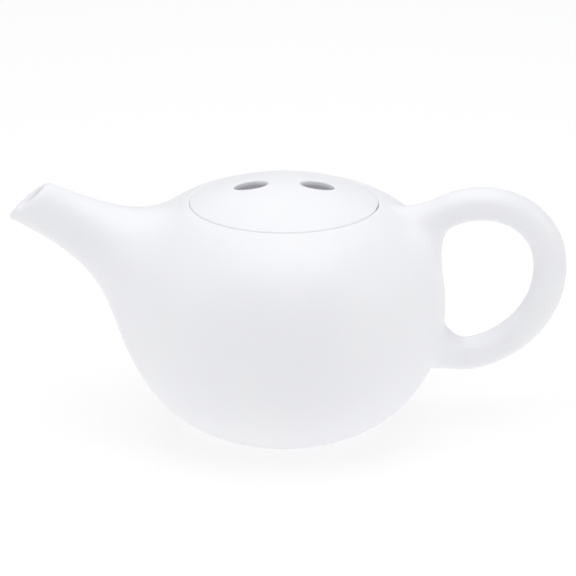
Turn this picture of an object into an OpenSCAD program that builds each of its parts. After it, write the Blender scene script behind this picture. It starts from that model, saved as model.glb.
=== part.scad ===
// Porcelain teapot: a round pot, a spout that grows out of its wall, a loop
// handle, and a domed lid that is lifted by two finger holes.
// Millimetres, +Z up. The origin is on the table at the centre of the foot
// ring. The spout points to -X and the handle to +X.

/* [Pot] */
// Widest radius of the belly
belly_r = 74; // [66:0.5:82]
// Height of the belly's widest point
belly_z = 59; // [52:0.5:66]
// Radius of the line where the pot's shoulder meets the lid
rim_r = 43; // [40:0.5:46]
// Height of that line
rim_z = 109.5; // [100:0.5:118]
// Thickness of the pot's wall
wall = 4; // [3:0.1:5]
// Outer radius of the foot ring
foot_r = 31; // [26:0.5:36]
// Height of the foot ring
foot_h = 1.4; // [1:0.1:3]
// Width of the foot ring's standing face
foot_w = 3; // [2:0.1:5]
// Slope of the wall where it leaves the foot ring, in degrees
foot_slope = 9.5; // [4:0.5:16]
// Slope of the shoulder where it meets the lid, in degrees
rim_slope = 17; // [12:0.5:22]

/* [Gallery and lid] */
// Depth of the recess that the lid sits in
gallery_deep = 3.6; // [3:0.1:5]
// Thickness of the shelf that carries the lid
gallery_t = 4; // [3:0.1:6]
// Width of that shelf, from the seam line in to the pot's mouth
shelf_w = 5.5; // [4.5:0.1:9]
// Gap round the lid's edge, on each side of the seam line
lid_gap = 0.15; // [0.1:0.05:0.5]
// Gap between the lid and the shelf under it
seat_gap = 0.1; // [0.05:0.05:0.3]
// Gap between the lid's flange and the mouth
flange_gap = 0.7; // [0.4:0.05:1.5]
// Height of the lid's dome above the seam line
lid_rise = 9; // [6:0.5:12]
// Thickness of the lid
lid_t = 2.6; // [2.3:0.1:4.5]
// Thickness of the lid's flange
flange_t = 3.2; // [2.5:0.1:4]
// How far the flange hangs below the shelf's top
flange_drop = 9; // [6:0.5:14]
// Width of each oval finger hole, from side to side
finger_w = 15.4; // [13:0.2:19]
// Depth of each finger hole, from front to back
finger_deep = 11.2; // [10:0.2:16]
// Distance between the two finger holes' centres
finger_pitch = 30.2; // [26:0.2:34]
// Bevel on the lid's and pot's edges at the seam
edge = 0.35; // [0.2:0.05:1]
// Bevel on the rims of the finger holes
finger_bevel = 0.8; // [0.5:0.1:1.4]

/* [Spout] */
// How far the pouring lip stands out past the belly
spout_out = 50.1; // [44:0.1:60]
// How far the pouring lip's lower edge lies below the seam line
spout_drop = 8.3; // [2:0.1:14]
// Outer length of the slanted mouth
spout_mouth_l = 25; // [20:0.2:28]
// Outer width of the mouth
spout_mouth_w = 16.4; // [14:0.2:21]
// Tilt of the mouth, in degrees above the table
spout_mouth_tilt = 40.3; // [32:0.1:48]
// Length of the pouring hole
spout_hole_l = 14; // [11:0.5:17]
// Width of the pouring hole
spout_hole_w = 8.2; // [7:0.1:10]
// How far the hole's centre sits above the mouth's, along the mouth
spout_hole_up = 1; // [0:0.1:2.5]
// How far the rounded lip stands out
spout_lip = 2.3; // [1:0.1:3]
// Fall of the spout's axis at the mouth, in degrees
spout_fall = 25; // [20:0.5:30]
// Half angle that the spout's root covers round the pot
spout_root_turn = 46; // [38:1:50]
// Distance from the seam line to the root's top, measured on the radius
spout_root_clear = 4; // [3:0.5:11]
// How far the root's underside reaches below the belly's widest point
spout_root_drop = 35.5; // [25:0.5:41]
// Thickness of the spout's wall
spout_wall = 3.5; // [2.5:0.1:4]

/* [Strainer] */
// Diameter of each strainer hole
strainer_d = 5; // [3.5:0.1:6]
// Distance between neighbouring strainer holes
strainer_pitch = 8.5; // [7:0.1:9]
// How far the strainer's middle lies below the seam line
strainer_drop = 29.5; // [27.5:0.5:33.5]

/* [Handle] */
// Thickness of the handle seen from the side
handle_t = 15.1; // [12:0.1:18]
// Width of the handle across
handle_w = 15.4; // [13:0.1:19]
// Distance from the belly to the handle's outermost middle line
handle_out = 47.7; // [38:0.1:58]
// Height of that outermost point above the belly's widest point
handle_mid_up = 18.6; // [13:0.2:25]
// How far the upper arm starts inside the belly's radius
handle_top_in = 0.2; // [-6:0.1:2]
// How far that start lies below the seam line
handle_top_drop = 5.1; // [1:0.1:9.5]
// Rise of the upper arm where it leaves the pot, in degrees
handle_top_rise = 25.5; // [18:0.5:32]
// Distance from the belly to the end of the lower arm
handle_low_out = 9.2; // [6:0.2:14]
// How far that end lies below the belly's widest point
handle_low_drop = 23.8; // [20:0.2:27]
// Distance from the seam line to the upper root's top, measured on the radius
upper_root_clear = 3; // [2.5:0.5:9]
// Height of the upper root's underside above the belly's widest point
upper_root_up = 10; // [3:0.5:15]
// Half angle that the upper root covers round the pot
upper_root_turn = 15; // [11:0.5:20]
// How far the lower root's upper end lies below the belly's widest point
lower_root_top_drop = 6.2; // [2:0.2:10]
// How far the lower root's lower end lies below it
lower_root_low_drop = 30.8; // [28:0.2:34]
// Half angle that the lower root covers round the pot
lower_root_turn = 11; // [7:0.5:14]

/* [Joints in the clay] */
// How deep the spout and the handle are pressed into the wall
luting = 0.2; // [0.15:0.05:0.5]

/* [Hidden] */
$fn = 96;

// Glaze colour
GLAZE = [0.95, 0.95, 0.96];
// Steps along each half of the pot's wall
WALL_STEPS = 26;
// Steps round the rings of the spout and the handle
RING_STEPS = 44;
SWEEP = [for (i = [0:RING_STEPS - 1]) 360 * i / RING_STEPS];
// Lengths of the tangents that shape the pot's wall, as shares of each run:
// out of the foot, up to the belly, up from the belly and out to the rim
FOOT_PULL = 0.49;
BELLY_UNDER_PULL = 0.634;
BELLY_OVER_PULL = 0.65;
RIM_PULL = 0.51;
// Tangents of the spout: length at the middle of each side, and the change
// towards the underside, at the mouth and at the root
SPOUT_MOUTH_PULL = [46, 15.5];
SPOUT_ROOT_PULL = [29, 11.5];
// How much the spout's top and underside close in on each other at the mouth
SPOUT_TAPER = 2.5;
// Share of the spout over which the pouring hole widens into the channel
CHANNEL_BLEND = 0.3;
// How far each root's buried edge runs past its outline
BURIED = 1.03;
// Tangents of the handle's loop, from its top end to its low end
LOOP_PULLS = [24.2, 25, 30.2, 10.4];
// Tangents of the handle's roots: length along the arm, then length along
// the wall at the root's side and its gain towards the root's top
UPPER_BLEND = [9, [8, 1.6]];
LOWER_BLEND = [3.4, [3.2, 2.1]];

// ---- Curves ----

function bezier(p0, p1, p2, p3, t) = let (u = 1 - t)
    u * u * u * p0 + 3 * u * u * t * p1 + 3 * u * t * t * p2 + t * t * t * p3;

function curve(p0, p1, p2, p3, steps) = [for (i = [0:steps]) bezier(p0, p1, p2, p3, i / steps)];

function unit(v) = v / norm(v);

function rest_of(list) = [for (i = [1:len(list) - 1]) list[i]];

// Running length along a list of points
function lengths(p) = [
    for (i = 0, s = 0; i < len(p); i = i + 1, s = i < len(p) ? s + norm(p[i] - p[i - 1]) : s) s
];

// ---- The pot's wall, as [radius, height] points from foot to rim ----

LOWER = curve(
    [foot_r, foot_h],
    [foot_r, foot_h] + FOOT_PULL * foot_r * [cos(foot_slope), sin(foot_slope)],
    [belly_r, belly_z - BELLY_UNDER_PULL * (belly_z - foot_h)],
    [belly_r, belly_z], WALL_STEPS);
UPPER = curve(
    [belly_r, belly_z],
    [belly_r, belly_z + BELLY_OVER_PULL * (rim_z - belly_z)],
    [rim_r, rim_z] + RIM_PULL * (belly_r - rim_r) * [cos(rim_slope), -sin(rim_slope)],
    [rim_r, rim_z], WALL_STEPS);
OUTER = concat(LOWER, rest_of(UPPER));
LAST = len(OUTER) - 1;
ALONG = lengths(OUTER);
// Direction into the wall at each point
INWARD = [for (i = [0:LAST])
    let (t = unit(OUTER[min(i + 1, LAST)] - OUTER[max(i - 1, 0)])) [-t[1], t[0]]];

function table(values) = [for (i = [0:LAST]) [ALONG[i], values[i]]];
SKIN_R = table([for (p = OUTER) p[0]]);
SKIN_Z = table([for (p = OUTER) p[1]]);
INTO_R = table([for (v = INWARD) v[0]]);
INTO_Z = table([for (v = INWARD) v[1]]);

// Distance along the wall at a height, and at a radius on the shoulder
function along_at_z(z) = lookup(z, [for (i = [0:LAST]) [OUTER[i][1], ALONG[i]]]);
function along_at_r(r) = lookup(r, [for (i = [WALL_STEPS:LAST]) [OUTER[i][0], ALONG[i]]]);

// Point at a distance along the wall, a turn from the X axis and a depth
function on_wall(side, turn, s, depth = 0) =
    let (r = lookup(s, SKIN_R) + depth * lookup(s, INTO_R),
         z = lookup(s, SKIN_Z) + depth * lookup(s, INTO_Z))
    [side * r * cos(turn), r * sin(turn), z];

// A root is [side, lowest distance along the wall, highest, half turn].
// rho is 1 on its outline and 0 at its middle; angle 0 is its top.
function on_root(root, a, rho = 1, depth = 0) = on_wall(
    root[0], rho * root[3] * sin(a),
    (root[1] + root[2]) / 2 + rho * cos(a) * (root[2] - root[1]) / 2, depth);

// Direction in the wall's skin that leads out of a root
function out_of_root(root, a) = unit(on_root(root, a, 1.02) - on_root(root, a, 0.98));

// ---- Closed skins over a list of rings ----

function ring_faces(count, n) = [
    for (i = [0:count - 2], j = [0:n - 1]) let (k = (j + 1) % n)
        each [[i * n + j, i * n + k, (i + 1) * n + j], [i * n + k, (i + 1) * n + k, (i + 1) * n + j]]
];

// Rings that come back to the first one, like a tyre
module looped_skin(rings) {
    n = len(rings[0]);
    count = len(rings);
    polyhedron(
        points = [for (r = rings) each r],
        faces = [for (i = [0:count - 1], j = [0:n - 1])
            let (k = (j + 1) % n, next = (i + 1) % count)
            each [
                [i * n + j, i * n + k, next * n + j],
                [i * n + k, next * n + k, next * n + j]
            ]]);
}

// Rings closed by one point before the first and one after the last
module capped_skin(first, rings, last) {
    n = len(rings[0]);
    count = len(rings);
    polyhedron(
        points = concat([for (r = rings) each r], [first, last]),
        faces = concat(
            ring_faces(count, n),
            [for (j = [0:n - 1]) [count * n, (j + 1) % n, j]],
            [for (j = [0:n - 1]) [count * n + 1, (count - 1) * n + j, (count - 1) * n + (j + 1) % n]]));
}

// ---- Pot ----

floor_z = foot_h + wall;
recess_z = foot_h + 0.2;
shelf_z = rim_z - gallery_deep;
shelf_low = shelf_z - gallery_t;
pot_edge_r = rim_r + lid_gap;
mouth_r = rim_r - shelf_w;

function shoulder_z(r) = lookup(r, [for (p = UPPER) p]);

module pot_profile() {
    outside = [for (p = OUTER) if (p[1] < belly_z || p[0] > pot_edge_r + 2 * edge) p];
    inside = [for (i = [LAST:-1:0]) let (p = OUTER[i] + wall * INWARD[i])
        if (p[1] > floor_z && p[1] < shelf_low) p];
    polygon(concat(
        [[0, recess_z], [foot_r - 1 - foot_w - 1, recess_z], [foot_r - 1 - foot_w, 0], [foot_r - 1, 0]],
        outside,
        [
            [pot_edge_r + edge, shoulder_z(pot_edge_r + edge)],
            [pot_edge_r, shoulder_z(pot_edge_r + edge) - edge],
            [pot_edge_r, shelf_z],
            [mouth_r, shelf_z],
            [mouth_r, shelf_low]
        ],
        inside,
        [[0, floor_z]]));
}

// Hexagonal cluster of holes, square to the wall behind the spout
module strainer_holes() {
    s = along_at_z(rim_z - strainer_drop);
    middle = on_wall(-1, 0, s);
    tilt = atan2(lookup(s, INTO_Z), -lookup(s, INTO_R));
    translate(middle) rotate([0, 90 + tilt, 0])
        for (i = [-2:2], j = [-2:2])
            if (abs(i + j) <= 2)
                translate([(i + j / 2) * strainer_pitch, j * sqrt(3) / 2 * strainer_pitch, -3 * wall])
                    cylinder(d = strainer_d, h = 6 * wall, $fn = 32);
}

module pot_body() {
    color(GLAZE) difference() {
        rotate_extrude() pot_profile();
        strainer_holes();
    }
}

// ---- Lid ----

lid_edge_r = rim_r - lid_gap;
// Radius of the sphere that the dome is cut from
dome_r = (rim_r * rim_r + lid_rise * lid_rise) / (2 * lid_rise);
lid_low_z = shelf_z + seat_gap;
flange_out_r = mouth_r - flange_gap;
flange_in_r = flange_out_r - flange_t;

function dome_z(r, radius = dome_r) = rim_z + lid_rise - dome_r + sqrt(radius * radius - r * r);

module lid_profile() {
    steps = 14;
    dome_out_r = lid_edge_r - edge;
    polygon(concat(
        [for (i = [0:steps]) let (r = dome_out_r * i / steps) [r, dome_z(r)]],
        [
            [lid_edge_r, dome_z(dome_out_r) - edge],
            [lid_edge_r, lid_low_z],
            [flange_out_r, lid_low_z],
            [flange_out_r, shelf_z - flange_drop + edge],
            [flange_out_r - edge, shelf_z - flange_drop],
            [flange_in_r + edge, shelf_z - flange_drop],
            [flange_in_r, shelf_z - flange_drop + edge]
        ],
        [for (i = [steps:-1:0]) let (r = flange_in_r * i / steps) [r, dome_z(r, dome_r - lid_t)]]));
}

module finger_hole() {
    top = dome_z(finger_pitch / 2);
    scale([finger_w, finger_deep, 1]) {
        translate([0, 0, shelf_z - flange_drop])
            cylinder(d = 1, h = flange_drop + gallery_deep + 2 * lid_rise);
        translate([0, 0, top - finger_bevel])
            cylinder(d1 = 1, d2 = 1 + 4 * finger_bevel / finger_w, h = 2 * finger_bevel);
    }
}

module lid() {
    color(GLAZE) difference() {
        rotate_extrude() lid_profile();
        for (side = [-1, 1]) translate([side * finger_pitch / 2, 0, 0]) finger_hole();
    }
}

// ---- Spout ----

SPOUT_ROOT = [
    -1, along_at_z(belly_z - spout_root_drop), along_at_r(rim_r + spout_root_clear), spout_root_turn];
// Unit vector up the slanted mouth, and the middle of the mouth
MOUTH_UP = [cos(spout_mouth_tilt), 0, sin(spout_mouth_tilt)];
MOUTH_MID = [-belly_r - spout_out, 0, rim_z - spout_drop] + spout_mouth_l / 2 * MOUTH_UP;

function mouth_ring(a, long, wide, up = 0) =
    MOUTH_MID + (up + cos(a) * long / 2) * MOUTH_UP + [0, sin(a) * wide / 2, 0];
function mouth_outer(a) = mouth_ring(a, spout_mouth_l, spout_mouth_w);
function mouth_inner(a) = mouth_ring(a, spout_hole_l, spout_hole_w, spout_hole_up);

// Direction down the spout at the mouth
function spout_down(a) = let (fall = spout_fall - SPOUT_TAPER * cos(a)) [cos(fall), 0, -sin(fall)];

function skin_point(a, t) = let (p0 = mouth_outer(a), p3 = on_root(SPOUT_ROOT, a))
    bezier(p0, p0 + (SPOUT_MOUTH_PULL[0] - SPOUT_MOUTH_PULL[1] * cos(a)) * spout_down(a),
           p3 - (SPOUT_ROOT_PULL[0] - SPOUT_ROOT_PULL[1] * cos(a)) * out_of_root(SPOUT_ROOT, a),
           p3, t);

// Direction into the spout, square to its skin
function skin_inward(a, t) = unit(cross(
    skin_point(a + 1, t) - skin_point(a - 1, t),
    skin_point(a, min(1, t + 0.01)) - skin_point(a, max(0, t - 0.01))));

// The channel starts as the pouring hole and then keeps one wall from the skin
function channel_point(a, t) = let (m = min(1, t / CHANNEL_BLEND), mix = m * m * (3 - 2 * m))
    skin_point(a, t) + (1 - mix) * (mouth_inner(a) - mouth_outer(a)) + mix * spout_wall * skin_inward(a, t);

// Height of a point above the pot's wall, measured outwards from the axis
function above_wall(p) = norm([p[0], p[1]]) - lookup(p[2], [for (q = OUTER) [q[1], q[0]]]);

// Share of the skin's length at which the channel reaches the pot's wall
function channel_end(a, low = CHANNEL_BLEND, high = 1, tries = 12) = tries == 0 ? low :
    let (mid = (low + high) / 2)
    above_wall(channel_point(a, mid)) > 0 ? channel_end(a, mid, high, tries - 1)
                                          : channel_end(a, low, mid, tries - 1);

CHANNEL_ENDS = [for (a = SWEEP) channel_end(a)];

// Ring between the root's outline (share 0) and the channel's end (share 1)
function luted_ring(share) = [for (i = [0:RING_STEPS - 1])
    let (a = SWEEP[i], root = SPOUT_ROOT, q = channel_point(a, CHANNEL_ENDS[i]),
         turn_in = atan2(q[1], -q[0]), along_in = along_at_z(q[2]),
         turn_out = BURIED * root[3] * sin(a),
         along_out = (root[1] + root[2]) / 2 + BURIED * cos(a) * (root[2] - root[1]) / 2)
    on_wall(root[0], turn_out + share * (turn_in - turn_out),
            along_out + share * (along_in - along_out), luting)];

function spout_lip_ring(b) = [for (a = SWEEP) let (o = mouth_outer(a), i = mouth_inner(a))
    (o + i) / 2 + cos(b) * (o - i) / 2 - sin(b) * spout_lip * spout_down(a)];

module spout() {
    steps = 22;
    inner_steps = 14;
    color(GLAZE) looped_skin(concat(
        [for (i = [0:steps]) [for (a = SWEEP) skin_point(a, i / steps)]],
        [for (share = [0:0.25:1]) luted_ring(share)],
        [for (i = [inner_steps:-1:0])
            [for (k = [0:RING_STEPS - 1]) channel_point(SWEEP[k], CHANNEL_ENDS[k] * i / inner_steps)]],
        [for (b = [150:-30:30]) spout_lip_ring(b)]));
}

// ---- Handle ----

UPPER_ROOT = [
    1, along_at_z(belly_z + upper_root_up), along_at_r(rim_r + upper_root_clear), upper_root_turn];
LOWER_ROOT = [
    1, along_at_z(belly_z - lower_root_low_drop), along_at_z(belly_z - lower_root_top_drop),
    lower_root_turn];

HANDLE_TOP = [belly_r - handle_top_in, rim_z - handle_top_drop];
HANDLE_OUT = [belly_r + handle_out, belly_z + handle_mid_up];
HANDLE_LOW = [belly_r + handle_low_out, belly_z - handle_low_drop];
TOP_WAY = [cos(handle_top_rise), sin(handle_top_rise)];

UPPER_ARM = [HANDLE_TOP, HANDLE_TOP + LOOP_PULLS[0] * TOP_WAY, HANDLE_OUT + [0, LOOP_PULLS[1]], HANDLE_OUT];
LOWER_ARM = [HANDLE_OUT, HANDLE_OUT - [0, LOOP_PULLS[2]], HANDLE_LOW + [LOOP_PULLS[3], 0], HANDLE_LOW];

function arm_point(arm, t) = bezier(arm[0], arm[1], arm[2], arm[3], t);
function arm_way(arm, t) = unit(arm_point(arm, min(1, t + 0.01)) - arm_point(arm, max(0, t - 0.01)));

// Ring square to the arm; angle 0 is on the outside of the loop
function arm_ring(arm, t, angles) = let (p = arm_point(arm, t), w = arm_way(arm, t))
    [for (a = angles) [p[0] - cos(a) * handle_t / 2 * w[1], sin(a) * handle_w / 2,
                       p[1] + cos(a) * handle_t / 2 * w[0]]];

// Rings that carry an arm's end ring into a root on the pot
function root_rings(ring, way, root, blend, angles, steps) = [for (i = [1:steps])
    [for (j = [0:len(ring) - 1])
        let (a = angles[j], p3 = on_root(root, a), hug = blend[1][0] + blend[1][1] * cos(a))
        bezier(ring[j], ring[j] + blend[0] * way, p3 - hug * out_of_root(root, a), p3, i / steps)]];

function sunk_ring(root, angles, rho) = [for (a = angles) on_root(root, a, rho, luting)];

function reversed(list) = [for (i = [len(list) - 1:-1:0]) list[i]];

module handle() {
    top_end = arm_ring(UPPER_ARM, 0, SWEEP);
    low_end = arm_ring(LOWER_ARM, 1, SWEEP);
    // The lower root's angle 0 is its top, and the loop's outside faces down there
    low_angles = [for (a = SWEEP) 180 - a];
    upper_root = root_rings(top_end, [-TOP_WAY[0], 0, -TOP_WAY[1]], UPPER_ROOT, UPPER_BLEND, SWEEP, 10);
    lower_root = root_rings(low_end, [-1, 0, 0], LOWER_ROOT, LOWER_BLEND, low_angles, 6);
    color(GLAZE) capped_skin(
        on_root(UPPER_ROOT, 0, 0, luting),
        concat(
            [for (rho = [BURIED / 3, 2 * BURIED / 3, BURIED]) sunk_ring(UPPER_ROOT, SWEEP, rho)],
            reversed(upper_root),
            [for (i = [0:13]) arm_ring(UPPER_ARM, i / 14, SWEEP)],
            [for (i = [0:14]) arm_ring(LOWER_ARM, i / 14, SWEEP)],
            lower_root,
            [for (rho = [BURIED, 2 * BURIED / 3, BURIED / 3]) sunk_ring(LOWER_ROOT, low_angles, rho)]),
        on_root(LOWER_ROOT, 0, 0, luting));
}

pot_body();
spout();
handle();
lid();
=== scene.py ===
"""Looks of a white porcelain teapot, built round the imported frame.

The pot, its spout, its loop handle and its lid are each one fine mesh that stands for the frame's
own solid. Sizes in the classes are millimetres, because a potter measures so; they become metres
only where a mesh is made. +Z is up, the spout points to -X and the handle to +X.
"""

import logging
import math
from dataclasses import dataclass, field, replace
from enum import Enum
from functools import cached_property
from typing import Any, Optional, Sequence

import bmesh
import bpy
import numpy as np
from mathutils import Matrix, Vector


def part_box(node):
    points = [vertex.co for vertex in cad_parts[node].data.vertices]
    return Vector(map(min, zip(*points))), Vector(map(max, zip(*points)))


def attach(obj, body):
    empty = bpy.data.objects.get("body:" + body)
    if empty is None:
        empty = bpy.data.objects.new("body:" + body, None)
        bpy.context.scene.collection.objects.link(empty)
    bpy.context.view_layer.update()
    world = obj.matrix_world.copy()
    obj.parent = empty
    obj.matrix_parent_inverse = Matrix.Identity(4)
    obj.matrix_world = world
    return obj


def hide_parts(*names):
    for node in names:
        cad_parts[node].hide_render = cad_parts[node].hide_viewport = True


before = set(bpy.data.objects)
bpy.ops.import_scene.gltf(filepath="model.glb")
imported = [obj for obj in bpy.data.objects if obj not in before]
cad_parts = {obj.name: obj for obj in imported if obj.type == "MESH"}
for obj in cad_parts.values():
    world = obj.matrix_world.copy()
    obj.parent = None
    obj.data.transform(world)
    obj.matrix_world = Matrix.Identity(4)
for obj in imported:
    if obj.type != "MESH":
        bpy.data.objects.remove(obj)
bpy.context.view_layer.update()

MM = 0.001

# How far the buried edge of a luted root runs past the root's outline.
BURIED = 1.03
# How far a face stops short of a rounded edge, in radii of its rounding.
EDGE_CLEAR = 2.2

log = logging.getLogger("teapot")


class Body(Enum):
    """Bodies of the frame that pieces ride on."""

    POT = "pot"
    LID = "lid"


# ---- Curves and meshes ----


def bezier(points: Sequence[Any], t: float | np.ndarray) -> np.ndarray:
    """Point on a cubic curve.

    Args:
        points: The four control points, each an array whose last axis is the coordinates.
        t: Share of the curve, or a column of shares that broadcasts against the points.

    Returns:
        The point or points.
    """
    p0, p1, p2, p3 = (np.asarray(p, float) for p in points)
    u = 1 - t
    return u**3 * p0 + 3 * u * u * t * p1 + 3 * u * t * t * p2 + t**3 * p3


def curve(points: Sequence[Any], steps: int) -> np.ndarray:
    """Evenly timed points along a cubic curve, its two ends included.

    Args:
        points: The four control points.
        steps: How many stretches to cut it into.

    Returns:
        An array of steps + 1 points.
    """
    return bezier(points, np.linspace(0, 1, steps + 1)[:, None])


def unit(v: np.ndarray) -> np.ndarray:
    """Vectors along the last axis, scaled to length 1."""
    return v / np.linalg.norm(v, axis=-1, keepdims=True)


def rounded(corners: Sequence[tuple[float, float, float]], steps: int = 6) -> np.ndarray:
    """Rounds the corners of a run of points in the plane.

    Args:
        corners: (r, z, fillet radius) of each corner; a radius of 0 keeps the corner.
        steps: Stretches in each rounding.

    Returns:
        The [r, z] points of the rounded run, with a guard point close to each rounding, which keeps
        the shading of the flats beside it even.
    """
    guard = 0.25
    out: list[np.ndarray] = []
    for i, (r, z, fillet) in enumerate(corners):
        p = np.array([r, z])
        if fillet == 0 or i in (0, len(corners) - 1):
            out.append(p)
            continue
        before = unit(np.array(corners[i - 1][:2]) - p)
        after = unit(np.array(corners[i + 1][:2]) - p)
        half = math.acos(float(np.clip(before @ after, -1, 1))) / 2
        run = fillet / math.tan(half)
        middle = p + unit(before + after) * fillet / math.sin(half)
        start, end = p + before * run - middle, p + after * run - middle
        sweep = math.pi - 2 * half
        out.append(p + before * (run + guard))
        for k in range(steps + 1):
            share = k / steps
            out.append(middle + (math.sin((1 - share) * sweep) * start + math.sin(share * sweep) * end)
                       / math.sin(sweep))
        out.append(p + after * (run + guard))
    return np.array(out)


def revolve(profile: np.ndarray, turns: np.ndarray) -> np.ndarray:
    """Turns a profile about the Z axis.

    Args:
        profile: The [r, z] points.
        turns: Angles in radians.

    Returns:
        One ring of points for each profile point.
    """
    r, z = profile[:, :1], profile[:, 1:]
    return np.stack([r * np.cos(turns), r * np.sin(turns), z + 0 * turns], axis=-1)


def full_turn(count: int) -> np.ndarray:
    """Angles of a full circle in radians, without the closing one."""
    return np.arange(count) * math.tau / count


class SkinMesh:
    """Collects rings of points, joins them with quads and makes a closed, smooth object."""

    def __init__(self) -> None:
        """Starts with no points."""
        self.points: list[np.ndarray] = []
        self.faces: list[list[int]] = []

    def add_rings(self, rings: np.ndarray, looped: bool = False) -> None:
        """Adds a stack of rings, each of them closed.

        Args:
            rings: Points, as [ring, point, xyz], in millimetres.
            looped: Whether the last ring joins the first one.
        """
        base = sum(len(p) for p in self.points)
        count, n = rings.shape[:2]
        self.points.append(rings.reshape(-1, 3))
        for i in range(count if looped else count - 1):
            row, above = base + i * n, base + (i + 1) % count * n
            for j in range(n):
                k = (j + 1) % n
                self.faces.append([row + j, row + k, above + k, above + j])

    def make(self, name: str) -> bpy.types.Object:
        """Welds the points and makes the object.

        Args:
            name: The object's name.

        Returns:
            The object, smooth and with its faces looking outwards.
        """
        mesh = bpy.data.meshes.new(name)
        mesh.from_pydata((np.concatenate(self.points) * MM).tolist(), [], self.faces)
        bm = bmesh.new()
        bm.from_mesh(mesh)
        bmesh.ops.remove_doubles(bm, verts=bm.verts, dist=2e-7)
        bmesh.ops.dissolve_degenerate(bm, edges=bm.edges, dist=1e-8)
        bmesh.ops.recalc_face_normals(bm, faces=bm.faces)
        bm.to_mesh(mesh)
        bm.free()
        mesh.shade_smooth()
        made = bpy.data.objects.new(name, mesh)
        bpy.context.scene.collection.objects.link(made)
        return made


# ---- Finishes ----


def linear(hex_colour: str) -> tuple[float, float, float, float]:
    """Linear colour of an sRGB hex value.

    Args:
        hex_colour: Six hex digits after a hash.

    Returns:
        Red, green, blue and an alpha of 1.
    """
    channels = [int(hex_colour[i:i + 2], 16) / 255 for i in (1, 3, 5)]
    r, g, b = (c / 12.92 if c <= 0.04045 else ((c + 0.055) / 1.055) ** 2.4 for c in channels)
    return r, g, b, 1.0


def add_node(tree: bpy.types.NodeTree, kind: str, settings: Optional[dict[str, Any]] = None,
             values: Optional[dict[Any, Any]] = None,
             links: Optional[dict[Any, bpy.types.NodeSocket]] = None) -> bpy.types.Node:
    """Adds a node with its settings and links.

    Args:
        tree: The tree that gets the node.
        kind: The node's type name.
        settings: Its properties.
        values: Values of its input sockets, by name or number.
        links: Sockets that feed its inputs, by name or number.

    Returns:
        The node.
    """
    made = tree.nodes.new(kind)
    for key, value in (settings or {}).items():
        setattr(made, key, value)
    for key, value in (values or {}).items():
        made.inputs[key].default_value = value
    for key, source in (links or {}).items():
        tree.links.new(source, made.inputs[key])
    return made


@dataclass(frozen=True)
class FiredClay:
    """A fired clay surface: glazed porcelain, or the bare biscuit of a foot ring.

    Its colour drifts very slightly over a few centimetres, its gloss varies over a few millimetres,
    and its skin has the slow waves of a dipped glaze under a finer grain. The glow stands for the
    light that a nearly closed white vessel keeps handing round inside.
    """

    name: str
    thick: str
    thin: str
    gloss: tuple[float, float]
    ior: float
    pool_mm: float
    wave_mm: float
    wave_deep_mm: float
    grain_mm: float
    grain_deep_mm: float
    painted_glow: float = 0.0

    def material(self) -> bpy.types.Material:
        """Builds the material's nodes, or returns the material if it is there already."""
        if self.name in bpy.data.materials:
            return bpy.data.materials[self.name]
        material = bpy.data.materials.new(self.name)
        material.use_nodes = True
        tree = material.node_tree
        tree.nodes.clear()
        place = add_node(tree, "ShaderNodeTexCoord").outputs["Object"]

        pool, sheen, wave, grain = (
            add_node(tree, "ShaderNodeTexNoise", values={"Scale": 1 / (size_mm * MM), "Detail": detail},
                     links={"Vector": place}).outputs["Fac"]
            for size_mm, detail in ((self.pool_mm, 2.0), (self.wave_mm, 3.0), (self.wave_mm, 1.0),
                                    (self.grain_mm, 3.0)))
        pools = add_node(tree, "ShaderNodeValToRGB", links={"Fac": pool})
        low, high = pools.color_ramp.elements
        low.position, low.color = 0.35, linear(self.thin)
        high.position, high.color = 0.65, linear(self.thick)
        gloss = add_node(tree, "ShaderNodeMapRange", values={
            "From Min": 0.3, "From Max": 0.7, "To Min": self.gloss[0], "To Max": self.gloss[1]},
            links={"Value": sheen})
        waves = add_node(tree, "ShaderNodeBump", values={"Strength": 1.0, "Distance": self.wave_deep_mm * MM},
                         links={"Height": wave})
        skin = add_node(tree, "ShaderNodeBump", values={"Strength": 1.0, "Distance": self.grain_deep_mm * MM},
                        links={"Height": grain, "Normal": waves.outputs["Normal"]})
        shader = add_node(tree, "ShaderNodeBsdfPrincipled", values={
            "IOR": self.ior, "Emission Color": linear(self.thick), "Emission Strength": self.painted_glow},
            links={"Base Color": pools.outputs["Color"], "Roughness": gloss.outputs["Result"],
                   "Normal": skin.outputs["Normal"]})
        add_node(tree, "ShaderNodeOutputMaterial", links={"Surface": shader.outputs["BSDF"]})
        return material


# Hard-paste porcelain under a satin feldspar glaze, dipped and fired: an even, slightly cool white
# whose highlights are broad and soft instead of sharp.
SATIN_GLAZE = FiredClay(
    name="satin_porcelain_glaze", thick="#F6F6FA", thin="#F8F8FA", gloss=(0.38, 0.46), ior=1.5,
    pool_mm=45.0, wave_mm=16.0, wave_deep_mm=0.05, grain_mm=0.9, grain_deep_mm=0.0012)

# The same glaze lining the vessel and the lid's underside, plus a painted glow: a faint emission standing in
# for light bounced round inside.
LINING_GLAZE_WITH_PAINTED_GLOW = replace(SATIN_GLAZE, name="satin_porcelain_lining_painted_glow", painted_glow=0.06)

# The same porcelain with its glaze wiped off before firing, where the pot stood on the kiln shelf:
# a warmer, dry, faintly grainy ring.
BARE_BISCUIT = FiredClay(
    name="bare_porcelain_biscuit", thick="#EFECE6", thin="#E9E5DD", gloss=(0.62, 0.78), ior=1.5,
    pool_mm=12.0, wave_mm=5.0, wave_deep_mm=0.02, grain_mm=0.5, grain_deep_mm=0.03)


def dress(piece: bpy.types.Object, node: str, body: Body, finishes: Sequence[FiredClay]) -> None:
    """Ties a piece to the frame and gives it its finishes.

    Args:
        piece: The visible piece.
        node: The frame's node that it stands for.
        body: The body that it moves with.
        finishes: What it is made of, in the order of its material slots.
    """
    for finish in finishes:
        piece.data.materials.append(finish.material())
    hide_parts(node)
    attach(piece, body.value)
    log.info("%s: %d faces", piece.name, len(piece.data.polygons))


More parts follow.
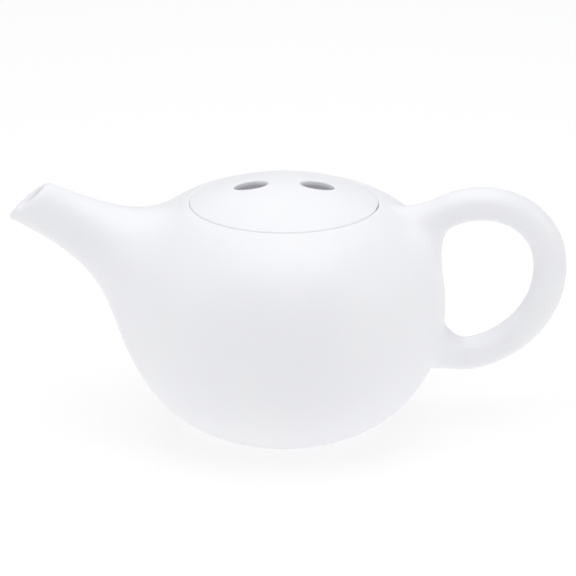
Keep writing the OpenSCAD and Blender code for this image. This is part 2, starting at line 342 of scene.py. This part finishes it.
# ---- The pot's wall, which the spout and the handle grow from ----


@dataclass(frozen=True)
class PotWall:
    """The pot's outer skin: a curve from the foot ring over the belly to the lid's seam, turned."""

    belly_r: float
    belly_z: float = 59.0
    foot_r: float = 31.0
    foot_h: float = 1.4
    rim_r: float = 43.0
    rim_z: float = 109.5
    foot_slope: float = 9.5
    rim_slope: float = 17.0
    # Lengths of the curve's tangents, as shares of each run.
    foot_pull: float = 0.49
    belly_under_pull: float = 0.634
    belly_over_pull: float = 0.65
    rim_pull: float = 0.51
    table_steps: int = 400

    def lower(self, steps: int) -> np.ndarray:
        """[r, z] points from the foot ring to the belly."""
        lean = math.radians(self.foot_slope)
        start = np.array([self.foot_r, self.foot_h])
        pull = self.foot_pull * self.foot_r * np.array([math.cos(lean), math.sin(lean)])
        return curve([start, start + pull,
                      [self.belly_r, self.belly_z - self.belly_under_pull * (self.belly_z - self.foot_h)],
                      [self.belly_r, self.belly_z]], steps)

    def upper(self, steps: int) -> np.ndarray:
        """[r, z] points from the belly to the seam."""
        lean = math.radians(self.rim_slope)
        end = np.array([self.rim_r, self.rim_z])
        pull = self.rim_pull * (self.belly_r - self.rim_r) * np.array([math.cos(lean), -math.sin(lean)])
        return curve([[self.belly_r, self.belly_z],
                      [self.belly_r, self.belly_z + self.belly_over_pull * (self.rim_z - self.belly_z)],
                      end + pull, end], steps)

    @cached_property
    def skin(self) -> np.ndarray:
        """Fine [r, z] points of the whole skin."""
        return np.vstack([self.lower(self.table_steps), self.upper(self.table_steps)[1:]])

    @cached_property
    def along(self) -> np.ndarray:
        """Distance of each skin point from the foot ring, along the skin."""
        return np.concatenate([[0.0], np.cumsum(np.linalg.norm(np.diff(self.skin, axis=0), axis=1))])

    @cached_property
    def inward(self) -> np.ndarray:
        """Direction into the wall at each skin point."""
        way = unit(np.gradient(self.skin, axis=0))
        return np.stack([-way[:, 1], way[:, 0]], axis=-1)

    def along_at_z(self, z: float | np.ndarray) -> float | np.ndarray:
        """Distance along the skin at a height."""
        return np.interp(z, self.skin[:, 1], self.along)

    def along_at_r(self, r: float) -> float:
        """Distance along the skin at a radius on the shoulder."""
        top = slice(self.table_steps, None)
        return float(np.interp(-r, -self.skin[top, 0], self.along[top]))

    def point(self, side: int, turn: np.ndarray, along: np.ndarray, depth: float = 0.0) -> np.ndarray:
        """Point on the wall.

        Args:
            side: -1 on the spout's side, 1 on the handle's.
            turn: Angle from the X axis, in radians.
            along: Distance along the skin.
            depth: Distance into the wall.

        Returns:
            The point or points.
        """
        r = np.interp(along, self.along, self.skin[:, 0] + depth * self.inward[:, 0])
        z = np.interp(along, self.along, self.skin[:, 1] + depth * self.inward[:, 1])
        return np.stack([side * r * np.cos(turn), r * np.sin(turn), z], axis=-1)


@dataclass(frozen=True)
class Root:
    """The patch of wall that a spout or a handle's end grows from."""

    wall: PotWall
    side: int
    low: float
    high: float
    half_turn: float

    def place(self, angle: np.ndarray, rho: float | np.ndarray = 1.0) -> tuple[np.ndarray, np.ndarray]:
        """Turn and distance along the wall; rho is 1 on the outline, and angle 0 is the top."""
        turn = rho * math.radians(self.half_turn) * np.sin(angle)
        return turn, (self.low + self.high) / 2 + rho * np.cos(angle) * (self.high - self.low) / 2

    def ring(self, angle: np.ndarray, rho: float = 1.0, depth: float = 0.0) -> np.ndarray:
        """Points of the patch at a share rho of its outline."""
        turn, along = self.place(angle, rho)
        return self.wall.point(self.side, turn, along, depth)

    def outward(self, angle: np.ndarray) -> np.ndarray:
        """Direction in the wall's skin that leads out of the patch."""
        near = 0.02
        return unit(self.ring(angle, 1 + near) - self.ring(angle, 1 - near))


# ---- Pot ----


@dataclass
class Pot:
    """The slip-cast pot: wall, foot ring, shelf for the lid and pierced strainer."""

    wall: PotWall
    wall_t: float = 4.0
    foot_w: float = 3.0
    foot_edge: float = 1.0
    foot_round: float = 0.5
    recess_rise: float = 0.2
    gallery_deep: float = 3.6
    gallery_t: float = 4.0
    mouth_r: float = 37.5
    lid_gap: float = 0.045
    lip_round: float = 0.8
    strainer_d: float = 5.0
    strainer_pitch: float = 8.5
    strainer_z: float = 80.0
    columns: int = 288

    @property
    def shelf_z(self) -> float:
        """Height of the shelf that carries the lid."""
        return self.wall.rim_z - self.gallery_deep

    @property
    def foot_ring(self) -> tuple[float, float]:
        """Outer and inner radius of the foot ring's standing face."""
        outer = self.wall.foot_r - self.foot_edge
        return outer, outer - self.foot_w

    def profile(self) -> np.ndarray:
        """The wall's section, from the middle of the underside round to the middle of the floor."""
        wall, edge = self.wall, self.wall.rim_r + self.lid_gap
        outside = np.vstack([wall.lower(70), wall.upper(90)[1:]])
        lip_r = edge + EDGE_CLEAR * self.lip_round
        outside = outside[(outside[:, 1] < wall.belly_z) | (outside[:, 0] > lip_r)]
        lip_z = float(np.interp(-edge, -wall.upper(400)[:, 0], wall.upper(400)[:, 1]))
        ring_out, ring_in = self.foot_ring
        recess_z, shelf_low = wall.foot_h + self.recess_rise, self.shelf_z - self.gallery_t
        foot = rounded([
            (0, recess_z, 0), (ring_in - self.foot_edge, recess_z, self.foot_round),
            (ring_in, 0, self.foot_round), (ring_out, 0, self.foot_round), (wall.foot_r, wall.foot_h, 0)])
        gallery = rounded([
            (*outside[-1], 0), (edge, lip_z, self.lip_round), (edge, self.shelf_z, 0.6),
            (self.mouth_r, self.shelf_z, 1.0), (self.mouth_r, shelf_low, 1.2),
            (wall.belly_r * 0.68, shelf_low, 0)])
        inner = wall.skin + self.wall_t * wall.inward
        inner = inner[(inner[:, 1] > wall.foot_h + self.wall_t) & (inner[:, 1] < shelf_low)][::-8]
        return np.vstack([foot, outside[1:-1], gallery[:-1], inner, [[0, wall.foot_h + self.wall_t]]])

    def strainer_cutter(self) -> bpy.types.Object:
        """A cluster of round punches, square to the wall behind the spout."""
        along = self.wall.along_at_z(self.strainer_z)
        inward = self.wall.inward[np.searchsorted(self.wall.along, along)]
        middle = self.wall.point(-1, np.array(0.0), np.array(along))
        tilt = math.atan2(inward[1], -inward[0])
        turned = Matrix.Rotation(math.pi / 2 + tilt, 3, "Y")
        punches = SkinMesh()
        reach, r, soft = 3 * self.wall_t, self.strainer_d / 2, 0.7
        # The punch flares a little where it leaves each face of the wall, which softens the rims.
        shape = np.array([[0, -reach], [r + soft, -reach], [r + soft, -soft / 2], [r, soft],
                          [r, self.wall_t - soft], [r + soft, self.wall_t + soft / 2],
                          [r + soft, self.wall_t + reach], [0, self.wall_t + reach]])
        ring = revolve(shape, full_turn(40))
        for i in range(-2, 3):
            for j in range(-2, 3):
                if abs(i + j) <= 2:
                    across = np.array([(i + j / 2) * self.strainer_pitch,
                                       j * math.sqrt(3) / 2 * self.strainer_pitch, 0])
                    punches.add_rings((ring + across) @ np.array(turned).T + middle)
        return punches.make("strainer_punches")

    def build(self) -> None:
        """Makes the pot and pierces its strainer."""
        skin = SkinMesh()
        skin.add_rings(revolve(self.profile(), full_turn(self.columns)))
        pot = skin.make("pot_wall")
        punches = self.strainer_cutter()
        pierce = pot.modifiers.new("strainer", "BOOLEAN")
        pierce.object, pierce.solver, pierce.operation = punches, "EXACT", "DIFFERENCE"
        seen = bpy.context.evaluated_depsgraph_get()
        pierced = bpy.data.meshes.new_from_object(pot.evaluated_get(seen))
        pot.modifiers.clear()
        pot.data = pierced
        bpy.data.objects.remove(punches)
        pierced.shade_smooth()
        pierced.set_sharp_from_angle(angle=math.radians(40))
        dress(pot, "pot_body", Body.POT, [SATIN_GLAZE, BARE_BISCUIT, LINING_GLAZE_WITH_PAINTED_GLOW])
        self.share_out_finishes(pot)

    def share_out_finishes(self, pot: bpy.types.Object) -> None:
        """Leaves the foot ring's standing face unglazed and lines the inside with the glaze that carries a
        painted glow.

        Args:
            pot: The pot's object, with its three finishes in its slots.
        """
        wall, slack = self.wall, 0.5
        ring_out, ring_in = self.foot_ring
        for face in pot.data.polygons:
            r, z = math.hypot(face.center.x, face.center.y) / MM, face.center.z / MM
            if z < slack:
                face.material_index = int(ring_in - 2 * self.foot_edge < r < ring_out + self.foot_edge)
            elif wall.foot_h + self.wall_t - 0.1 < z < self.shelf_z - slack:
                mid_wall = np.interp(z, wall.skin[:, 1], wall.skin[:, 0]) - self.wall_t / 2
                # Inner faces get the lining, whose glow is painted light standing in for bounced light.
                face.material_index = 2 if r < mid_wall else 0


# ---- Spout ----


@dataclass
class Spout:
    """The swept spout: a wide root that melts into the wall, and a slanted mouth with a round lip."""

    wall: PotWall
    luting: float = 0.2
    reach: float = 124.1
    lip_z: float = 101.2
    mouth_l: float = 25.0
    mouth_w: float = 16.4
    mouth_tilt: float = 40.3
    hole_l: float = 14.0
    hole_w: float = 8.2
    hole_up: float = 1.0
    lip: float = 2.3
    fall: float = 25.0
    taper: float = 2.5
    # Tangents of the skin at each end: length at the sides, and how it changes from the underside
    # to the top.
    mouth_pull: tuple[float, float] = (46.0, -15.5)
    root_pull: tuple[float, float] = (29.0, -11.5)
    # Share of the spout over which the hole widens into the channel.
    channel_blend: float = 0.3
    wall_t: float = 3.5
    root_turn: float = 46.0
    root_top_r: float = 47.0
    root_low_z: float = 23.5
    angles: np.ndarray = field(default_factory=lambda: full_turn(144))

    @cached_property
    def root(self) -> Root:
        """Where the spout meets the wall."""
        return Root(self.wall, -1, float(self.wall.along_at_z(self.root_low_z)),
                    self.wall.along_at_r(self.root_top_r), self.root_turn)

    def mouth(self, angle: np.ndarray, long: float, wide: float, up: float = 0.0) -> np.ndarray:
        """An oval in the slanted plane of the mouth; angle 0 is its upper end."""
        tilt = math.radians(self.mouth_tilt)
        slope = np.array([math.cos(tilt), 0, math.sin(tilt)])
        middle = np.array([-self.reach, 0, self.lip_z]) + self.mouth_l / 2 * slope
        across = np.array([0, wide / 2, 0])
        return middle + (up + np.cos(angle) * long / 2)[:, None] * slope + np.sin(angle)[:, None] * across

    def down(self, angle: np.ndarray) -> np.ndarray:
        """Direction down the spout at the mouth."""
        fall = np.radians(self.fall - self.taper * np.cos(angle))
        return np.stack([np.cos(fall), 0 * fall, -np.sin(fall)], axis=-1)

    def skin(self, angle: np.ndarray, t: float | np.ndarray) -> np.ndarray:
        """Ring of the outer skin at a share t of the way from the mouth to the wall."""
        start, end = self.mouth(angle, self.mouth_l, self.mouth_w), self.root.ring(angle)
        (first_side, first_gain), (last_side, last_gain) = self.mouth_pull, self.root_pull
        first = (first_side + first_gain * np.cos(angle))[:, None] * self.down(angle)
        last = (last_side + last_gain * np.cos(angle))[:, None] * self.root.outward(angle)
        return bezier([start, start + first, end - last, end], t)

    def channel(self, angle: np.ndarray, t: np.ndarray) -> np.ndarray:
        """Ring of the channel: the pouring hole, then one wall in from the skin."""
        step = 0.01
        t = t[:, None]
        round_way = self.skin(angle + step, t) - self.skin(angle - step, t)
        down_way = self.skin(angle, np.minimum(1, t + step)) - self.skin(angle, np.maximum(0, t - step))
        into = unit(np.cross(round_way, down_way))
        m = np.minimum(1, t / self.channel_blend)
        mix = m * m * (3 - 2 * m)
        hole = self.mouth(angle, self.hole_l, self.hole_w, self.hole_up)
        rim = self.mouth(angle, self.mouth_l, self.mouth_w)
        return self.skin(angle, t) + (1 - mix) * (hole - rim) + mix * self.wall_t * into

    def channel_ends(self) -> np.ndarray:
        """Share of the skin's length at which the channel reaches the wall, for each angle."""
        low, high = np.full(len(self.angles), self.channel_blend), np.ones(len(self.angles))
        for _ in range(24):
            middle = (low + high) / 2
            p = self.channel(self.angles, middle)
            wall_r = np.interp(p[:, 2], self.wall.skin[:, 1], self.wall.skin[:, 0])
            outside = np.hypot(p[:, 0], p[:, 1]) > wall_r
            low, high = np.where(outside, middle, low), np.where(outside, high, middle)
        return low

    def luted_ring(self, share: float, inner: np.ndarray) -> np.ndarray:
        """Ring on the wall between the root's outline and the channel's end.

        Args:
            share: 0 on the outline, 1 at the channel.
            inner: The channel's last ring.

        Returns:
            The ring's points, sunk by the luting depth.
        """
        turn, along = self.root.place(self.angles, BURIED)
        turn_in = np.arctan2(inner[:, 1], -inner[:, 0])
        along_in = self.wall.along_at_z(inner[:, 2])
        return self.wall.point(-1, turn + share * (turn_in - turn), along + share * (along_in - along),
                               self.luting)

    def build(self) -> None:
        """Makes the spout."""
        ends = self.channel_ends()
        inner = self.channel(self.angles, ends)
        rim = self.mouth(self.angles, self.mouth_l, self.mouth_w)
        hole = self.mouth(self.angles, self.hole_l, self.hole_w, self.hole_up)
        out = -self.lip * self.down(self.angles)
        lip = [(rim + hole) / 2 + math.cos(b) * (rim - hole) / 2 + math.sin(b) * out
               for b in np.linspace(math.pi, 0, 14)[1:-1]]
        outer_steps, inner_steps, luted_steps = 90, 40, 8
        rings = [self.skin(self.angles, t) for t in np.linspace(0, 1, outer_steps + 1)]
        rings += [self.luted_ring(share, inner) for share in np.linspace(0, 1, luted_steps + 1)]
        rings += [self.channel(self.angles, ends * t) for t in np.linspace(1, 0, inner_steps + 1)]
        skin = SkinMesh()
        skin.add_rings(np.array(rings + lip), looped=True)
        spout = skin.make("swept_spout")
        dress(spout, "spout", Body.POT, [SATIN_GLAZE, LINING_GLAZE_WITH_PAINTED_GLOW])
        # The skin's faces come first and the lip's last; the lining, with its painted glow, is all that lies
        # between.
        count = len(self.angles)
        for face in spout.data.polygons[outer_steps * count:-len(lip) * count]:
            face.material_index = 1


# ---- Handle ----


@dataclass(frozen=True)
class Grip:
    """How one arm of the handle ends on the wall.

    Attributes:
        half_turn: Half angle that the root covers round the pot.
        straight: How far the arm keeps its direction.
        hug: How long it runs along the wall: at the sides, and the gain towards the root's top.
        rings: How many rings carry it there.
    """

    half_turn: float
    straight: float
    hug: tuple[float, float]
    rings: int


@dataclass
class Handle:
    """The loop handle: an oval strap whose upper arm flares into the shoulder and whose lower arm
    butts against the belly."""

    wall: PotWall
    luting: float = 0.2
    thick: float = 15.1
    wide: float = 15.4
    reach: float = 121.7
    mid_z: float = 77.6
    top_x: float = 73.8
    top_z: float = 104.4
    top_rise: float = 25.5
    low_x: float = 83.2
    low_z: float = 35.2
    pulls: tuple[float, float, float, float] = (24.2, 25.0, 30.2, 10.4)
    upper_root_top_r: float = 46.0
    upper_root_low_z: float = 69.0
    lower_root_top_z: float = 52.8
    lower_root_low_z: float = 28.2
    upper_grip: Grip = Grip(half_turn=15.0, straight=9.0, hug=(8.0, 1.6), rings=40)
    lower_grip: Grip = Grip(half_turn=11.0, straight=3.4, hug=(3.2, 2.1), rings=20)
    strap_steps: int = 70
    angles: np.ndarray = field(default_factory=lambda: full_turn(112))

    @property
    def top_way(self) -> np.ndarray:
        """Direction in which the upper arm leaves the pot."""
        rise = math.radians(self.top_rise)
        return np.array([math.cos(rise), math.sin(rise)])

    def strap(self, steps: int) -> list[np.ndarray]:
        """Rings of the strap, from the upper arm's start round to the lower arm's end."""
        out = np.array([self.reach, self.mid_z])
        low = np.array([self.low_x, self.low_z])
        top = np.array([self.top_x, self.top_z])
        upper = curve([top, top + self.pulls[0] * self.top_way, out + [0, self.pulls[1]], out], steps)
        lower = curve([out, out - [0, self.pulls[2]], low + [self.pulls[3], 0], low], steps)
        line = np.vstack([upper, lower[1:]])
        way = unit(np.gradient(line, axis=0))
        way[0], way[-1] = self.top_way, (-1, 0)
        cos, sin = np.cos(self.angles), np.sin(self.angles)
        return [np.stack([p[0] - cos * self.thick / 2 * w[1], sin * self.wide / 2,
                          p[1] + cos * self.thick / 2 * w[0]], axis=-1) for p, w in zip(line, way)]

    def root_rings(self, ring: np.ndarray, way: Sequence[float], root: Root, grip: Grip,
                   angles: np.ndarray) -> list[np.ndarray]:
        """Rings that carry an arm's end into a root and close it inside the wall.

        Args:
            ring: The arm's end ring.
            way: Direction towards the pot.
            root: Where it meets the wall.
            grip: How it ends there.
            angles: The root's angle for each point.

        Returns:
            The rings, the last one a point inside the wall.
        """
        end = root.ring(angles)
        side, gain = grip.hug
        last = (side + gain * np.cos(angles))[:, None] * root.outward(angles)
        points = [ring, ring + grip.straight * np.array(way), end - last, end]
        blend = [bezier(points, t) for t in np.linspace(0, 1, grip.rings + 1)[1:]]
        return blend + [root.ring(angles, rho, self.luting) for rho in (BURIED, 0.9, 0.6, 0.3, 0.0)]

    def build(self) -> None:
        """Makes the handle."""
        wall = self.wall
        upper = Root(wall, 1, float(wall.along_at_z(self.upper_root_low_z)),
                     wall.along_at_r(self.upper_root_top_r), self.upper_grip.half_turn)
        lower = Root(wall, 1, float(wall.along_at_z(self.lower_root_low_z)),
                     float(wall.along_at_z(self.lower_root_top_z)), self.lower_grip.half_turn)
        strap = self.strap(self.strap_steps)
        top_in = [-self.top_way[0], 0, -self.top_way[1]]
        rings = self.root_rings(strap[0], top_in, upper, self.upper_grip, self.angles)[::-1] + strap
        rings += self.root_rings(strap[-1], [-1, 0, 0], lower, self.lower_grip, math.pi - self.angles)
        skin = SkinMesh()
        skin.add_rings(np.array(rings))
        dress(skin.make("loop_handle"), "handle", Body.POT, [SATIN_GLAZE])


# ---- Lid ----


@dataclass
class Lid:
    """The domed lid: two oval finger holes with soft rims, a round edge and a locating flange."""

    wall: PotWall
    pot: Pot
    rise: float
    lid_gap: float = 0.045
    lean: tuple[float, float] = (-0.015, -0.015)
    # A small nick in the edge, on the handle's side: where, how wide (both in degrees) and how deep.
    nick_turn: float = -10.5
    nick_half: float = 4.0
    nick_deep: float = 0.35
    seat_gap: float = 0.1
    flange_gap: float = 0.7
    flange_t: float = 3.2
    flange_drop: float = 9.0
    flange_clear: float = 2.5
    lid_t: float = 2.6
    finger_w: float = 15.4
    finger_deep: float = 11.2
    finger_pitch: float = 30.2
    rim_round: float = 0.9
    under_round: float = 1.1
    edge_round: float = 0.8
    arc_steps: int = 96
    line_steps: int = 64

    @property
    def dome_r(self) -> float:
        """Radius of the sphere that the dome is cut from."""
        return (self.wall.rim_r**2 + self.rise**2) / (2 * self.rise)

    def dome_z(self, r: np.ndarray, inset: float = 0.0) -> np.ndarray:
        """Height of the dome, or of the face inset below it, at a radius."""
        crown = self.wall.rim_z + self.rise - self.dome_r
        return crown + np.sqrt((self.dome_r - inset) ** 2 - r * r)

    def half_outline(self, radius: float) -> np.ndarray:
        """Outline of half a disc on the +X side: its arc from -Y to +Y, then back down the middle."""
        arc = np.linspace(-math.pi / 2, math.pi / 2, self.arc_steps + 1)
        line = np.linspace(radius, -radius, self.line_steps + 1)[1:-1]
        return np.vstack([np.stack([radius * np.cos(arc), radius * np.sin(arc)], axis=-1),
                          np.stack([0 * line, line], axis=-1)])

    def hole_rings(self, top_r: float, low_r: float) -> np.ndarray:
        """Rings from the top face's outline in to a finger hole, down it, and out below.

        Args:
            top_r: Radius at which the top face ends.
            low_r: Radius at which the lower face ends.

        Returns:
            The rings of the half on the +X side.
        """
        middle, half = np.array([self.finger_pitch / 2, 0.0]), np.array([self.finger_w, self.finger_deep]) / 2

        def face(outline_r: float, soft: float, inset: float, sign: int) -> list[np.ndarray]:
            """Rings of one face, from its outline to the foot of its rounded rim."""
            outline = self.half_outline(outline_r)
            oval = unit((outline - middle) / half)
            bore, out = middle + oval * half, unit(oval / half)
            made = []
            for share in np.linspace(1, 0, 19):
                flat = bore + soft * out + share * (outline - bore - soft * out)
                made.append(np.c_[flat, self.dome_z(np.linalg.norm(flat, axis=1), inset)])
            for bend in np.linspace(0, math.pi / 2, 11)[1:]:
                flat = bore + soft * (1 - math.sin(bend)) * out
                z = self.dome_z(np.linalg.norm(flat, axis=1), inset) - sign * soft * (1 - math.cos(bend))
                made.append(np.c_[flat, z])
            return made

        top = face(top_r, self.rim_round, 0.0, 1)
        return np.array(top + face(low_r, self.under_round, self.lid_t, -1)[::-1])

    def edge_profile(self) -> np.ndarray:
        """Section of the lid's edge, seat and flange, from the top face round to the lower face."""
        edge = self.wall.rim_r - self.lid_gap
        seat = self.pot.shelf_z + self.seat_gap
        out_r = self.pot.mouth_r - self.flange_gap
        in_r = out_r - self.flange_t
        foot = self.pot.shelf_z - self.flange_drop
        face_r, low_r = edge - EDGE_CLEAR * self.edge_round, in_r - self.flange_clear
        return rounded([
            (face_r, float(self.dome_z(np.array(face_r))), 0),
            (edge, float(self.dome_z(np.array(edge))), self.edge_round), (edge, seat, 0.6),
            (out_r, seat, 0.8), (out_r, foot, 0.9), (in_r, foot, 0.9),
            (in_r, float(self.dome_z(np.array(in_r), self.lid_t)), 1.2),
            (low_r, float(self.dome_z(np.array(low_r), self.lid_t)), 0)])

    def nicked(self, rings: np.ndarray) -> np.ndarray:
        """Rings of the edge with the nick pressed in."""
        x, y, _ = np.moveaxis(rings, -1, 0)
        r, off = np.hypot(x, y), (np.degrees(np.arctan2(y, x)) - self.nick_turn) / self.nick_half
        edge = self.wall.rim_r - self.lid_gap
        near = np.clip((r - edge + 4 * self.edge_round) / (3 * self.edge_round), 0, 1)
        keep = 1 - self.nick_deep * np.exp(-off * off) * near / r
        return rings * np.stack([keep, keep, np.ones_like(keep)], axis=-1)

    def build(self) -> None:
        """Makes the lid."""
        edge = self.edge_profile()
        holes = self.hole_rings(edge[0, 0], edge[-1, 0])
        arc = np.linspace(-math.pi / 2, math.pi / 2, self.arc_steps + 1)[:-1]
        # A loose lid never lies quite central: this one lies a hair towards the spout and the front.
        lean = np.array([*self.lean, 0])
        skin = SkinMesh()
        skin.add_rings(self.nicked(revolve(edge, np.concatenate([arc, arc + math.pi]))) + lean)
        skin.add_rings(holes + lean)
        skin.add_rings(holes * [-1, -1, 1] + lean)
        lid = skin.make("domed_lid")
        dress(lid, "lid", Body.LID, [SATIN_GLAZE, LINING_GLAZE_WITH_PAINTED_GLOW])
        for face in lid.data.polygons:
            r, z = math.hypot(face.center.x, face.center.y) / MM, face.center.z / MM
            below = z < float(self.dome_z(np.array(r))) - self.lid_t / 2
            # Faces under the lid, inside the pot's mouth, get the lining with its painted glow.
            face.material_index = int(below and r < self.pot.mouth_r)


# ---- Studio ----


@dataclass(frozen=True)
class Softbox:
    """A square soft light."""

    name: str
    place: tuple[float, float, float]
    size: float
    watts: float
    aim: tuple[float, float, float] = (0.0, 0.0, 0.06)

    def build(self) -> None:
        """Hangs the light and turns it to its aim."""
        lamp = bpy.data.lights.new(self.name, "AREA")
        lamp.shape, lamp.size, lamp.energy = "SQUARE", self.size, self.watts
        held = bpy.data.objects.new(self.name, lamp)
        held.location = self.place
        held.rotation_euler = (Vector(self.aim) - Vector(self.place)).to_track_quat("-Z", "Y").to_euler()
        bpy.context.scene.collection.objects.link(held)


@dataclass(frozen=True)
class Studio:
    """White sweep, overhead softbox, even fill and the camera."""

    paper_colour: str = "#AAAAAA"
    paper_glow: float = 0.62
    sky_colour: str = "#FCFDFF"
    sky_strength: float = 0.444
    floor_half: float = 6.0
    distance: float = 1.4
    elevation: float = 20.44
    lens: float = 190.2
    aim_z: float = 0.060
    slide_right: float = 0.00175
    slide_up: float = 0.00685

    def build(self) -> None:
        """Makes the floor, the lights, the sky and the camera."""
        self.floor()
        self.sky()
        Softbox("overhead_softbox", (0.0, -0.25, 1.5), 1.5, 11.3).build()
        Softbox("left_softbox", (-1.7, -0.5, 0.9), 1.2, 4.35).build()
        Softbox("right_softbox", (1.7, -0.5, 0.9), 1.2, 4.75).build()
        Softbox("back_softbox", (0.0, 1.1, 1.2), 1.2, 3.2).build()
        self.camera()

    def floor(self) -> None:
        """A wide pale floor at the height the foot ring stands on."""
        mesh = bpy.data.meshes.new("studio_floor")
        half = self.floor_half
        corners = [(-half, -half, 0), (half, -half, 0), (half, half, 0), (-half, half, 0)]
        mesh.from_pydata(corners, [], [(0, 1, 2, 3)])
        # Matt white paper on a light table: it glows a little, so hardly any shadow shows on it and it
        # lights the pot's underside.
        paper = bpy.data.materials.new("studio_paper")
        paper.use_nodes = True
        shader = paper.node_tree.nodes["Principled BSDF"]
        shader.inputs["Base Color"].default_value = linear(self.paper_colour)
        shader.inputs["Emission Color"].default_value = (1, 1, 1, 1)
        shader.inputs["Emission Strength"].default_value = self.paper_glow
        shader.inputs["Roughness"].default_value = 0.9
        shader.inputs["Specular IOR Level"].default_value = 0.1
        mesh.materials.append(paper)
        made = bpy.data.objects.new("studio_floor", mesh)
        bpy.context.scene.collection.objects.link(made)

    def sky(self) -> None:
        """Even white fill from all round."""
        world = bpy.data.worlds.new("white_room")
        world.use_nodes = True
        back = world.node_tree.nodes["Background"]
        back.inputs["Color"].default_value = linear(self.sky_colour)
        back.inputs["Strength"].default_value = self.sky_strength
        scene = bpy.context.scene
        scene.world = world
        scene.view_settings.view_transform = "Standard"
        scene.view_settings.look = "None"

    def camera(self) -> None:
        """A long lens in front of the pot, a little above it."""
        lens = bpy.data.cameras.new("long_lens")
        lens.lens = self.lens
        lens.clip_end = 50.0
        tilt = math.radians(self.elevation)
        back = Vector((0, -math.cos(tilt), math.sin(tilt)))
        up = Vector((0, math.sin(tilt), math.cos(tilt)))
        held = bpy.data.objects.new("long_lens", lens)
        held.location = (Vector((0, 0, self.aim_z)) + back * self.distance
                         + Vector((self.slide_right, 0, 0)) + up * self.slide_up)
        held.rotation_euler = (math.pi / 2 - tilt, 0, 0)
        bpy.context.scene.collection.objects.link(held)
        bpy.context.scene.camera = held


def main() -> None:
    """Builds the teapot and its studio, and notes the sizes."""
    logging.basicConfig(level=logging.INFO, format="%(name)s: %(message)s")
    Studio().build()
    low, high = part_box("pot_body")
    wall = PotWall(belly_r=(high[0] - low[0]) / 2 / MM)
    pot = Pot(wall)
    pot.build()
    Spout(wall).build()
    Handle(wall).build()
    Lid(wall, pot, rise=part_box("lid")[1][2] / MM - wall.rim_z).build()


if __name__ == "__main__":
    main()
